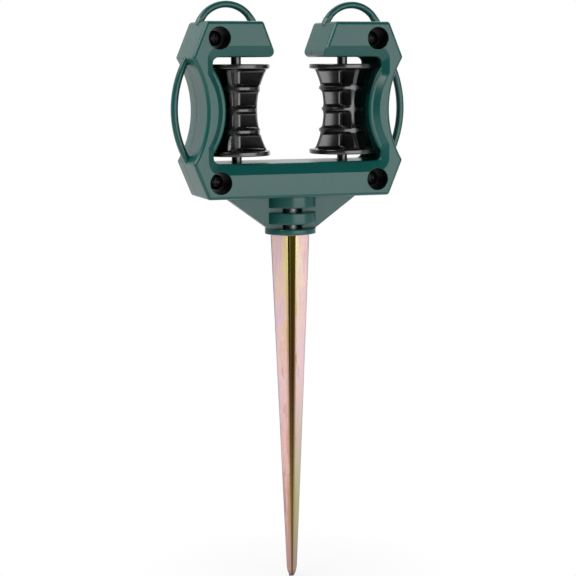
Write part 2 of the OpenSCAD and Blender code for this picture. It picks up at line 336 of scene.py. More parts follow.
@dataclass(frozen=True)
class MouldedPlastic:
    """Injection moulded plastic: an even body colour under a soft gloss with a fine skin.

    Attributes:
        name: Name of the material.
        colour: Body colour.
        drift: Colour that the body drifts to along the flow of the melt.
        roughness: Gloss of the skin.
        rough_spread: How far the gloss drifts.
        ior: Refractive index.
        skin_mm: Spacing of the fine unevenness of the skin.
        skin_depth_mm: Depth of that unevenness.
        flow_mm: Length over which colour and gloss drift.
        film: Share of the surface under a clear film of mould release.
        painted_shade: Colour of the painted shade on the spots that the mesh marks, or nothing.
    """

    # How finely the flow and the skin vary, how strongly the skin shows,
    # and the parts of the flow's range that colour and gloss follow.
    FLOW_NOISE: ClassVar[dict[str, float]] = {"Detail": 3.0, "Roughness": 0.55}
    SKIN_NOISE: ClassVar[dict[str, float]] = {"Detail": 2.0}
    SKIN_STRENGTH: ClassVar[float] = 0.6
    COLOUR_BAND: ClassVar[tuple[float, float]] = (0.3, 0.75)
    GLOSS_BAND: ClassVar[tuple[float, float]] = (0.3, 0.7)

    name: str
    colour: str
    drift: str
    roughness: float
    rough_spread: float
    ior: float
    skin_mm: float
    skin_depth_mm: float
    flow_mm: float
    film: float = 0.0
    painted_shade: str = ""

    def body(self, tree: Tree, flow: Node) -> Node:
        """Work out the body colour.

        Args:
            tree: Tree of the material.
            flow: Flow of the melt, from 0 to 1.

        Returns:
            Colour that drifts with the flow, with painted shade where the mesh marks it.
        """
        ramp = add_node(tree, "ValToRGB", links={"Fac": flow})
        set_ramp(ramp, list(zip(self.COLOUR_BAND, (self.colour, self.drift))))
        if not self.painted_shade:
            return ramp
        # Painted shade: the body colour turns near black where the mesh marks the screw wells.
        shade_marks = add_node(tree, "Attribute", {"attribute_name": HousingHalf.PAINTED_SHADE}).outputs["Fac"]
        shaded = {"data_type": "RGBA", "B": linear(self.painted_shade)}
        return add_node(tree, "Mix", shaded, {"Factor": shade_marks, "A": ramp})

    def material(self) -> Material:
        """Make the material.

        Returns:
            Material with a drifting body colour and gloss, and a fine bump.
        """
        constants = {"IOR": self.ior, "Coat Weight": self.film, "Coat Roughness": self.roughness}
        material, shader = new_material(self.name, constants)
        tree = material.node_tree
        place = add_node(tree, "TexCoord").outputs["Object"]
        flow, skin = (
            add_node(tree, "TexNoise", {"Scale": 1 / (size * MM), **noise}, {"Vector": place})
            for size, noise in ((self.flow_mm, self.FLOW_NOISE), (self.skin_mm, self.SKIN_NOISE))
        )
        band = {
            "From Min": self.GLOSS_BAND[0],
            "From Max": self.GLOSS_BAND[1],
            "To Min": self.roughness - self.rough_spread,
            "To Max": self.roughness + self.rough_spread,
        }
        gloss = add_node(tree, "MapRange", band, {"Value": flow})
        relief = {"Distance": self.skin_depth_mm * MM, "Strength": self.SKIN_STRENGTH}
        bump = add_node(tree, "Bump", relief, {"Height": skin})
        feed(tree, shader, {"Base Color": self.body(tree, flow), "Roughness": gloss, "Normal": bump})
        return material


class Film(Enum):
    """Tints that a thin chromate film shows."""

    STRAW = "F2DF98"
    CREAM = "F3DFC4"
    PINK = "F0CCC8"
    LILAC = "E4C6D0"
    ROSE = "E2B4AC"
    SALMON = "CE9A8F"
    BRASS = "BE9462"
    SAGE = "ACAE88"
    CLAY = "B4928A"
    TAUPE = "A0908A"


@dataclass(frozen=True)
class FilmLevel:
    """Look of the film at one height of the blade.

    Attributes:
        height_mm: Height above the ground line.
        tints: Tints across the blade, from the left edge to the right one.
        groove: Darker colour of the groove, which reaches over the bends beside it as painted shade.
    """

    height_mm: float
    tints: tuple[Film, ...]
    groove: str


@dataclass(frozen=True)
class ChromatedZinc:
    """Zinc plated steel under a yellow chromate film, whose tint runs in stripes along the blade.

    Attributes:
        name: Name of the material.
        levels: Looks of the film, from the upper end to the point.
        cut_edge: Colour of the sheared edges.
        edge_from: Place where a sheared edge begins, as a share of the way out to it.
        end_mm: Heights between which the film of the point gives way to its sheared end.
        patch_mm: Width and length of the patches by which the stripes wander.
        wander: How far the stripes wander, as a share of the width.
        streak_mm: Width of the rolling streaks.
        streak_depth_mm: Depth of the rolling streaks.
        roughness: Gloss of the film.
        rough_spread: How far the gloss drifts.
    """

    # How finely the stripes wander, and how strongly the streaks show.
    FILM_NOISE: ClassVar[dict[str, float]] = {
        "Scale": 1.0,
        "Detail": 6.0,
        "Roughness": 0.7,
        "Distortion": 0.4,
    }
    STREAK_STRENGTH: ClassVar[float] = 0.5

    name: str
    levels: tuple[FilmLevel, ...]
    cut_edge: str
    edge_from: float
    end_mm: tuple[float, float]
    patch_mm: tuple[float, float]
    wander: float
    streak_mm: float
    streak_depth_mm: float
    roughness: float
    rough_spread: float

    def stripe(self, tree: Tree, place: Socket, across: Socket) -> Node:
        """Find the stripe that a spot lies in.

        Args:
            tree: Tree of the material.
            place: Object coordinates.
            across: Place across the blade, from -1 at the left edge to 1 at the right one.

        Returns:
            Place of the stripe, from 0 at the left edge to 1 at the right one.
        """
        wide, long = (1 / (size * MM) for size in self.patch_mm)
        patches = add_node(tree, "Mapping", {"Scale": (wide, wide, long)}, {"Vector": place})
        noise = add_node(tree, "TexNoise", self.FILM_NOISE, {"Vector": patches})
        swing = {"To Min": -self.wander, "To Max": self.wander}
        shift = add_node(tree, "MapRange", swing, {"Value": noise})
        side = add_node(tree, "MapRange", {"From Min": -1.0}, {"Value": across})
        return add_node(tree, "Math", {"operation": "ADD"}, {0: side, 1: shift})

    def film(self, tree: Tree, stripe: Node, height: Socket) -> Node:
        """Work out the film colour.

        Args:
            tree: Tree of the material.
            stripe: Place of the stripe.
            height: Height above the ground line.

        Returns:
            Colour of the stripes and of the darker groove between them, with painted shade over the
            groove's bends, blended from level to level.
        """
        # Painted shade: the groove's mark also covers the bends beside it.
        groove = add_node(tree, "Attribute", {"attribute_name": Blade.GROOVE_SHADE}).outputs["Fac"]
        looks = []
        for level in self.levels:
            ramp = add_node(tree, "ValToRGB", links={"Fac": stripe})
            last = len(level.tints) - 1
            set_ramp(ramp, [(i / last, tint.value) for i, tint in enumerate(level.tints)])
            groove_shaded = {"data_type": "RGBA", "B": linear(level.groove)}
            looks.append(add_node(tree, "Mix", groove_shaded, {"Factor": groove, "A": ramp}))
        colour = looks[0]
        for above, below, look in zip(self.levels, self.levels[1:], looks[1:]):
            span = {"From Min": above.height_mm * MM, "From Max": below.height_mm * MM}
            down = add_node(tree, "MapRange", span, {"Value": height})
            blend = {"Factor": down, "A": colour, "B": look}
            colour = add_node(tree, "Mix", {"data_type": "RGBA"}, blend)
        return colour

    def sheared(self, tree: Tree, across: Socket, height: Socket) -> Node:
        """Find the sheared edges.

        Args:
            tree: Tree of the material.
            across: Place across the blade, from -1 at the left edge to 1 at the right one.
            height: Height above the ground line.

        Returns:
            1 at both edges and at the end of the point, 0 on the film.
        """
        out = add_node(tree, "Math", {"operation": "ABSOLUTE"}, {0: across})
        side = add_node(tree, "MapRange", {"From Min": self.edge_from}, {"Value": out})
        start, end = (z * MM for z in self.end_mm)
        low = add_node(tree, "MapRange", {"From Min": start, "From Max": end}, {"Value": height})
        return add_node(tree, "Math", {"operation": "MAXIMUM"}, {0: side, 1: low})

    def material(self) -> Material:
        """Make the material.

        Returns:
            Metal with a striped film and faint rolling streaks.
        """
        material, shader = new_material(self.name, {"Metallic": 1.0})
        tree = material.node_tree
        place = add_node(tree, "TexCoord").outputs["Object"]
        across = add_node(tree, "Attribute", {"attribute_name": Blade.ACROSS}).outputs["Fac"]
        height = add_node(tree, "SeparateXYZ", links={"Vector": place}).outputs["Z"]
        film = self.film(tree, self.stripe(tree, place, across), height)
        bare = {"data_type": "RGBA", "B": linear(self.cut_edge)}
        colour = add_node(tree, "Mix", bare, {"Factor": self.sheared(tree, across, height), "A": film})
        fine, long = 1 / (self.streak_mm * MM), 1 / (self.patch_mm[1] * MM)
        streaks = add_node(tree, "Mapping", {"Scale": (fine, fine, long)}, {"Vector": place})
        rolled = add_node(tree, "TexNoise", {"Scale": 1.0}, {"Vector": streaks})
        dull, half = self.roughness, self.rough_spread
        band = {"To Min": dull - half, "To Max": dull + half}
        gloss = add_node(tree, "MapRange", band, {"Value": rolled})
        relief = {"Distance": self.streak_depth_mm * MM, "Strength": self.STREAK_STRENGTH}
        bump = add_node(tree, "Bump", relief, {"Height": rolled})
        feed(tree, shader, {"Base Color": colour, "Roughness": gloss, "Normal": bump})
        return material


@dataclass(frozen=True)
class PlatedSteel:
    """Coated steel of a turned piece: a plain metal with duller spots.

    Attributes:
        name: Name of the material.
        colour: Colour of the coat.
        shade: Colour of the duller spots.
        roughness: Gloss of the coat.
        spot_mm: Size of the duller spots.
        rough_spread: How far the gloss drifts.
    """

    # How finely the spots vary, and the part of their range that the colour follows.
    SPOT_DETAIL: ClassVar[float] = 2.0
    COLOUR_BAND: ClassVar[tuple[float, float]] = (0.35, 0.65)

    name: str
    colour: str
    shade: str
    roughness: float
    spot_mm: float
    rough_spread: float = 0.1

    def material(self) -> Material:
        """Make the material.

        Returns:
            Metal with duller spots.
        """
        material, shader = new_material(self.name, {"Metallic": 1.0})
        tree = material.node_tree
        place = add_node(tree, "TexCoord").outputs["Object"]
        grain = {"Scale": 1 / (self.spot_mm * MM), "Detail": self.SPOT_DETAIL}
        spots = add_node(tree, "TexNoise", grain, {"Vector": place})
        tint = add_node(tree, "ValToRGB", links={"Fac": spots})
        set_ramp(tint, list(zip(self.COLOUR_BAND, (self.shade, self.colour))))
        dull, half = self.roughness, self.rough_spread
        band = {"To Min": dull + half, "To Max": dull - half}
        gloss = add_node(tree, "MapRange", band, {"Value": spots})
        feed(tree, shader, {"Base Color": tint, "Roughness": gloss})
        return material


# Satin polypropylene: a dark blue green body with a broad soft sheen on the flat faces,
# and painted shade that turns the screw wells near black.
GREEN_PLASTIC = MouldedPlastic(
    name="satin_green_polypropylene",
    colour="054B46",
    drift="07514B",
    roughness=0.27,
    rough_spread=0.03,
    ior=1.49,
    skin_mm=0.6,
    skin_depth_mm=0.01,
    flow_mm=60,
    # Colour of the painted shade in the screw wells.
    painted_shade="020303",
)
# Polished black nylon: nearly no body colour, so that only its edges and rims catch the light.
BLACK_PLASTIC = MouldedPlastic(
    name="glossy_black_nylon",
    colour="0A0A0B",
    drift="121213",
    roughness=0.24,
    rough_spread=0.04,
    ior=1.53,
    skin_mm=0.5,
    skin_depth_mm=0.008,
    flow_mm=25,
    film=1.0,
)
# Yellow chromate over zinc: pink, straw and pale green tints of one thin film, duller near the point; the
# groove is darker, and where that colour reaches over its bends it is painted shade.
YELLOW_ZINC = ChromatedZinc(
    name="yellow_chromated_zinc",
    levels=(
        FilmLevel(
            height_mm=-20,
            tints=(Film.LILAC, Film.PINK, Film.STRAW, Film.STRAW, Film.CREAM, Film.PINK, Film.LILAC),
            groove="6E6636",
        ),
        FilmLevel(
            height_mm=-80,
            tints=(Film.LILAC, Film.PINK, Film.ROSE, Film.BRASS, Film.LILAC, Film.PINK, Film.LILAC),
            groove="7E6446",
        ),
        FilmLevel(
            height_mm=-160,
            tints=(Film.CLAY, Film.ROSE, Film.SALMON, Film.BRASS, Film.SAGE, Film.SAGE, Film.SAGE),
            groove="A28E66",
        ),
        FilmLevel(
            height_mm=-195,
            tints=(Film.TAUPE, Film.CLAY, Film.CLAY, Film.TAUPE, Film.TAUPE, Film.TAUPE, Film.TAUPE),
            groove="A88C78",
        ),
    ),
    cut_edge="5C5654",
    edge_from=0.95,
    end_mm=(-198.5, -203),
    patch_mm=(4, 20),
    wander=0.6,
    streak_mm=0.5,
    streak_depth_mm=0.02,
    roughness=0.24,
    rough_spread=0.06,
)
# Zinc plate on the turned post: a grey metal kept darker than bright zinc, as painted shade for the
# socket's windows where it shows.
POST_ZINC = PlatedSteel(
    "zinc_plated_post_steel", colour="8F908E", shade="737472", roughness=0.4, spot_mm=2
)
# Black phosphate on steel: a dull dark grey with duller spots.
SCREW_STEEL = PlatedSteel(
    "black_phosphated_screw_steel", colour="3A3A3C", shade="29292B", roughness=0.5, spot_mm=1.2
)


class OpenSky:
    """Tells whether a spot on the assembled housing is open to the outside."""

    # Height above the skin where a ray starts, and how far a ray has to lean away from the skin.
    LIFT = 0.3 * MM
    LEAN = 0.1

    def __init__(self, nodes: list[str]) -> None:
        """Take the solids that can cover a spot.

        Args:
            nodes: Names of the solids.
        """
        depsgraph = bpy.context.evaluated_depsgraph_get()
        self.trees = [BVHTree.FromObject(frame["nodes"][node], depsgraph) for node in nodes]
        steps = (-1, 0, 1)
        ways = [Vector((x, y, z)) for x in steps for y in steps for z in steps if x or y or z]
        self.rays = [way.normalized() for way in ways]

    def sees(self, spot: Vector, normal: Vector) -> bool:
        """Say whether some ray leaves a spot without meeting a solid.

        Args:
            spot: Point on the skin.
            normal: Direction away from the skin.

        Returns:
            True where the spot is in the open.
        """
        start = spot + normal * self.LIFT
        leaning = (ray for ray in self.rays if ray.dot(normal) > self.LEAN)
        return any(all(tree.ray_cast(start, ray)[0] is None for tree in self.trees) for ray in leaning)


@dataclass
class HousingHalf:
    """One moulded half of the head, with the rounded edges of its mould.

    Attributes:
        node: Node of the half.
        face_y: Depth of its flat outer face.
        parting_y: Depth of the parting face.
        wells: Axes of the screw wells.
        sky: Tells which edges are in the open.
        rim_mm: Rounding of the outer face's outline.
        lip_mm: Rounding of the flare's inner edge, below the arms.
        edge_mm: Rounding of the hoops and other edges.
        soft_mm: Rounding of blunt edges and of the screw wells.
        line_mm: Rounding along the parting line.
        ring_mm: Rounding of the socket's rings.
        segments: Facets across a rounding.
        sharp_degrees: Edges flatter than this stay as they are.
        blunt_degrees: Edges of the outer face flatter than this count as blunt.
        smooth_degrees: Edges sharper than this stay sharp in the shading.
        same_y: Depths closer than this are the same.
        opening: Corners of the room for the hose, where the parting line stays sharp.
        socket_top: Height up to which the socket's edges are told apart.
        ring_x: Reach of the socket's rings to either side.
        shank_r: Radius round the post inside which the socket's edges stay sharp.
        arch_foot: Heights between which the arches grow out of the arms, where edges stay sharp.
        well_r: Radius round a well's axis inside which edges belong to the well.
        bore_r: Radius round a well's axis inside which the skin gets painted shade.
        flare_depth: Depth of the flare's inner edge below the outer face.
        arms_z: Height of the arms' lower side.
    """

    # Name of the mesh's mark for painted shade in the screw wells.
    PAINTED_SHADE: ClassVar[str] = "painted_shade"

    node: str
    face_y: float
    parting_y: float
    wells: list[Vector]
    sky: OpenSky
    rim_mm: float = 1.9
    lip_mm: float = 1.2
    edge_mm: float = 0.8
    soft_mm: float = 0.35
    line_mm: float = 0.35
    ring_mm: float = 0.7
    segments: int = 4
    sharp_degrees: float = 22
    blunt_degrees: float = 60
    smooth_degrees: float = 30
    same_y: float = 0.02 * MM
    opening: tuple[Vector, Vector] = (Vector((-45, 0, 40)) * MM, Vector((45, 0, 100)) * MM)
    socket_top: float = 21 * MM
    ring_x: float = 12 * MM
    shank_r: float = 6 * MM
    arch_foot: tuple[float, float] = (116.9 * MM, 120.3 * MM)
    well_r: float = 6.6 * MM
    bore_r: float = 6.2 * MM
    flare_depth: float = 3 * MM
    arms_z: float = 98 * MM

    def rounding(self, edge: Edge) -> float:
        """Work out the rounding that an edge gets.

        Args:
            edge: Edge of the merged mesh.

        Returns:
            Rounding in millimetres, which is zero for a flat, hollow or covered edge.
        """
        angle = edge.calc_face_angle(0)
        middle = (edge.verts[0].co + edge.verts[1].co) / 2
        normal = (edge.link_faces[0].normal + edge.link_faces[1].normal).normalized()
        corner = edge.is_convex and angle >= math.radians(self.sharp_degrees)
        if not corner or not self.sky.sees(middle, normal):
            return 0.0
        if middle.z < self.socket_top:
            on_ring = abs(middle.x) < self.ring_x and middle.xy.length > self.shank_r
            return self.ring_mm if on_ring else 0.0
        if any((middle - well).xz.length < self.well_r for well in self.wells):
            return self.soft_mm
        if self.lies_at(edge, self.parting_y):
            low, high = self.opening
            inside = low.x < middle.x < high.x and low.z < middle.z < high.z
            return 0.0 if inside else self.line_mm
        if self.lies_at(edge, self.face_y):
            return self.rim_mm if angle > math.radians(self.blunt_degrees) else self.soft_mm
        inward = math.copysign(self.flare_depth, -self.face_y)
        if self.lies_at(edge, self.face_y + inward) and middle.z < self.arms_z:
            return self.lip_mm
        lowest = min(vert.co.z for vert in edge.verts)
        return 0.0 if self.arch_foot[0] < middle.z and lowest < self.arch_foot[1] else self.edge_mm

    def lies_at(self, edge: Edge, depth: float) -> bool:
        """Say whether an edge lies at a depth."""
        return all(abs(vert.co.y - depth) < self.same_y for vert in edge.verts)

    def build(self) -> Piece:
        """Model the half.

        Returns:
            Copy of the solid with rounded edges, and with marks for painted shade in its screw wells.
        """
        piece = copy_of_node(self.node, self.node + "_moulding")
        mesh = bmesh.new()
        mesh.from_mesh(piece.data)
        weights = mesh.edges.layers.float.new("bevel_weight_edge")
        for edge in mesh.edges:
            edge[weights] = self.rounding(edge) / self.rim_mm
        mesh.to_mesh(piece.data)
        mesh.free()
        apply_modifier(
            piece,
            "BEVEL",
            width=self.rim_mm * MM,
            segments=self.segments,
            limit_method="WEIGHT",
            use_clamp_overlap=False,
        )
        # Painted shade: the skin inside each screw well, short of the parting face, is marked to turn
        # near black.
        painted_shade = piece.data.attributes.new(self.PAINTED_SHADE, "FLOAT", "POINT")
        depth = abs(self.face_y - self.parting_y) - self.soft_mm * MM / 2
        for vert in piece.data.vertices:
            inside = any((vert.co - well).xz.length < self.bore_r for well in self.wells)
            between = abs(vert.co.y - self.parting_y) < depth
            painted_shade.data[vert.index].value = float(inside and between)
        smooth(piece, self.smooth_degrees)
        return piece

    def dress(self, piece: Piece, material: Material) -> None:
        """Give the half its finish and let it stand for its node."""
        seat(piece, self.node, Body.HEAD, material)


@dataclass
class Roller:
    """Hourglass roller: end flanges and discs with four fins, moulded in one piece with its trunnions.

    Attributes:
        reach: Length over the trunnions.
        flange_r: Radius of the flanges.
        length: Length over the flanges.
        flange_t: Thickness of the flanges.
        waist_r: Radius of the waist.
        curve_r: Radius of the hourglass curve.
        disc_t: Thickness of the discs.
        disc_pitch: Distance between the discs.
        land: Height of the level band at each disc, which runs a little past it.
        fin_t: Thickness of the fins.
        trunnion_r: Radius of the trunnions.
        fillet: Rounding in the pockets.
        mouth: Rounding of the fins and discs at the mouths of the pockets.
        mouth_slack: Distance below the hourglass within which an edge belongs to a mouth.
        mouth_degrees: Edges flatter than this belong to no mouth.
        edge: Rounding of the flanges and trunnions.
        edge_shares: Places of the first two points round a flange's corner, as shares of its rounding.
        sides: Facets round the roller.
        rings: Rings between the flanges.
        ring_gap: Least distance of a ring from the bands at the discs.
        segments: Facets across a rounding.
        merge: Corners closer than this become one once the pockets are cut.
        smooth_degrees: Edges sharper than this stay sharp in the shading.
    """

    reach: float
    flange_r: float
    length: float = 50.5 * MM
    flange_t: float = 2.6 * MM
    waist_r: float = 11.75 * MM
    curve_r: float = 48 * MM
    disc_t: float = 2 * MM
    disc_pitch: float = 11.9 * MM
    land: float = 2.7 * MM
    fin_t: float = 2.4 * MM
    trunnion_r: float = 2.9 * MM
    fillet: float = 2 * MM
    mouth: float = 0.5 * MM
    mouth_slack: float = 0.25 * MM
    mouth_degrees: float = 35
    edge: float = 0.55 * MM
    edge_shares: tuple[float, float] = (0.1, 0.3)
    sides: int = 96
    rings: int = 28
    ring_gap: float = 0.4 * MM
    segments: int = 4
    merge: float = 0.003 * MM
    smooth_degrees: float = 32

    def discs(self) -> list[float]:
        """List the heights of the three discs from the middle."""
        return [i * self.disc_pitch for i in (-1, 0, 1)]

    def radius(self, height: float) -> float:
        """Give the radius of the hourglass.

        Args:
            height: Height from the middle.

        Returns:
            Radius at that height, which is level across each disc.
        """
        disc = min(self.discs(), key=lambda z: abs(height - z))
        level = disc if abs(height - disc) < self.land / 2 + NEAR else height
        return self.waist_r + self.curve_r - math.sqrt(self.curve_r**2 - level**2)

    def profile(self) -> list[tuple[float, float]]:
        """List the rings from the lower flange to the upper one.

        Returns:
            Height and radius of each ring between the two end faces.
        """
        top = self.length / 2
        inner = top - self.flange_t
        foot, lean = (self.edge * share for share in self.edge_shares)
        rim = [
            (inner + foot, self.flange_r - self.edge),
            (inner + lean, self.flange_r - lean),
            (inner + self.edge, self.flange_r),
            (top - self.edge, self.flange_r),
            (top - lean, self.flange_r - lean),
        ]
        start = inner - self.edge
        body = [-start + 2 * start * i / self.rings for i in range(self.rings + 1)]
        lands = [disc + side * self.land / 2 for disc in self.discs() for side in (-1, 1)]
        body = [z for z in body if all(abs(z - land) > self.ring_gap for land in lands)]
        return [
            *((-height, radius) for height, radius in reversed(rim)),
            *((height, self.radius(height)) for height in sorted(body + lands)),
            *rim,
        ]

    def blank(self) -> Piece:
        """Turn the hourglass blank with its flanges and trunnions.

        Returns:
            Solid of revolution about Z, with its middle at the origin.
        """
        bpy.ops.object.select_all(action="DESELECT")
        bpy.ops.mesh.primitive_cylinder_add(vertices=self.sides, radius=self.flange_r, depth=self.length)
        piece = bpy.context.active_object
        with editing(piece):
            for height, _ in self.profile():
                bpy.ops.mesh.select_all(action="SELECT")
                bpy.ops.mesh.bisect(plane_co=(0, 0, height), plane_no=(0, 0, 1))
            for height, radius in self.profile():
                pick(piece, Part.VERTS, lambda vert, z=height: abs(vert.co.z - z) < NEAR)
                share = radius / self.flange_r
                bpy.ops.transform.resize(value=(share, share, 1), center_override=(0, 0, height))
            for end in (-1, 1):
                cap = end * self.length / 2
                pick(piece, Part.VERTS, lambda vert, z=cap: abs(vert.co.z - z) < NEAR)
                share = 1 - self.edge / self.flange_r
                bpy.ops.transform.resize(value=(share, share, 1), center_override=(0, 0, cap))
                pick(piece, Part.FACES, lambda face, way=end: face.normal.z * way > FACING)
                bpy.ops.mesh.inset(thickness=self.flange_r - self.edge - self.trunnion_r)
                bpy.ops.mesh.extrude_region_move(
                    TRANSFORM_OT_translate={"value": (0, 0, end * (self.reach - self.length) / 2)}
                )
                bpy.ops.mesh.inset(thickness=self.edge)
                bpy.ops.transform.translate(value=(0, 0, end * self.edge))
        return piece

    def bevel(self, width: float) -> None:
        """Round the selected edges of the piece in edit mode."""
        bpy.ops.mesh.bevel(offset=width, segments=self.segments, affect="EDGES", clamp_overlap=False)

    def pockets(self) -> Piece:
        """Model the cores of the mould that leave the pockets between fins and discs.

        Returns:
            All cores as one piece.
        """
        inner = self.length / 2 - self.flange_t
        floors = [-inner, *(z + self.disc_t / 2 for z in self.discs())]
        roofs = [*(z - self.disc_t / 2 for z in self.discs()), inner]
        depth = 2 * self.flange_r
        out = self.fin_t / 2 + depth / 2
        cores = []
        for floor, roof in zip(floors, roofs):
            for quarter in range(4):
                bpy.ops.object.select_all(action="DESELECT")
                bpy.ops.mesh.primitive_cube_add(size=1)
                core = bpy.context.active_object
                core.scale = (depth, depth, roof - floor)
                core.location = (out, out, (floor + roof) / 2)
                bpy.ops.object.transform_apply(location=True, rotation=True, scale=True)
                core.rotation_euler = (0, 0, math.radians(90 * quarter))
                bpy.ops.object.transform_apply(location=True, rotation=True, scale=True)
                with editing(core):
                    bpy.ops.mesh.select_all(action="SELECT")
                    self.bevel(self.fillet)
                cores.append(core)
        activate(cores[0])
        for core in cores:
            core.select_set(True)
        bpy.ops.object.join()
        return cores[0]

    def on_mouth(self, edge: Edge) -> bool:
        """Say whether an edge runs round the mouth of a pocket.

        Args:
            edge: Edge of the roller with its pockets cut.

        Returns:
            True for a sharp edge on the hourglass between the flanges.
        """
        if len(edge.link_faces) != 2 or edge.calc_face_angle(0) < math.radians(self.mouth_degrees):
            return False
        inner = self.length / 2 - self.flange_t
        places = [vert.co for vert in edge.verts]
        return all(
            abs(co.z) < inner and co.xy.length > self.radius(co.z) - self.mouth_slack for co in places
        )

    def build(self) -> Piece:
        """Model the roller about Z, with its middle at the origin.

        Returns:
            Blank with sixteen filleted pockets and rounded edges.
        """
        piece = self.blank()
        cores = self.pockets()
        apply_modifier(piece, "BOOLEAN", operation="DIFFERENCE", solver="EXACT", object=cores)
        bpy.data.objects.remove(cores)
        with editing(piece):
            bpy.ops.mesh.select_all(action="SELECT")
            bpy.ops.mesh.remove_doubles(threshold=self.merge)
            pick(piece, Part.EDGES, self.on_mouth)
            self.bevel(self.mouth)
        smooth(piece, self.smooth_degrees)
        return piece

    def place(self, model: Piece, node: str, axis: Vector, turn: float) -> Piece:
        """Set a copy of the model on its axis.

        Args:
            model: Roller about Z at the origin.
            node: Node of the roller.
            axis: Middle of the roller.
            turn: Rest position of its fins, in degrees.

        Returns:
            The copy, with its place in its mesh.
        """
        piece = model.copy()
        piece.data = model.data.copy()
        piece.name = node + "_moulding"
        bpy.context.scene.collection.objects.link(piece)
        piece.data.transform(Matrix.Translation(axis) @ Matrix.Rotation(math.radians(turn), 4, "Z"))
        return piece

    def dress(self, piece: Piece, node: str, body: Body, material: Material) -> None:
        """Give a roller its finish and let it stand for its node."""
        seat(piece, node, body, material)


@dataclass
class Hardware:
    """Turned metal piece: a screw or the pivot post.

    Attributes:
        node: Node of the piece.
        body: Body that it rides on.
        slot: Material slot of the record; not used.
        edge_mm: Rounding of its edges.
        edge_degrees: Edges flatter than this stay as they are.
        smooth_degrees: Edges sharper than this stay sharp in the shading.
    """

    node: str
    body: Body
    slot: Slot
    edge_mm: float
    edge_degrees: float = 40
    smooth_degrees: float = 30

    def build(self) -> Piece:
        """Model the piece.

        Returns:
            Copy of the solid with rounded edges.
        """
        piece = copy_of_node(self.node, self.node + "_turned")
        round_edges(piece, self.edge_mm * MM, self.edge_degrees)
        smooth(piece, self.smooth_degrees)
        return piece

    def dress(self, piece: Piece, material: Material) -> None:
        """Give the piece its finish and let it stand for its node."""
        seat(piece, self.node, self.body, material)


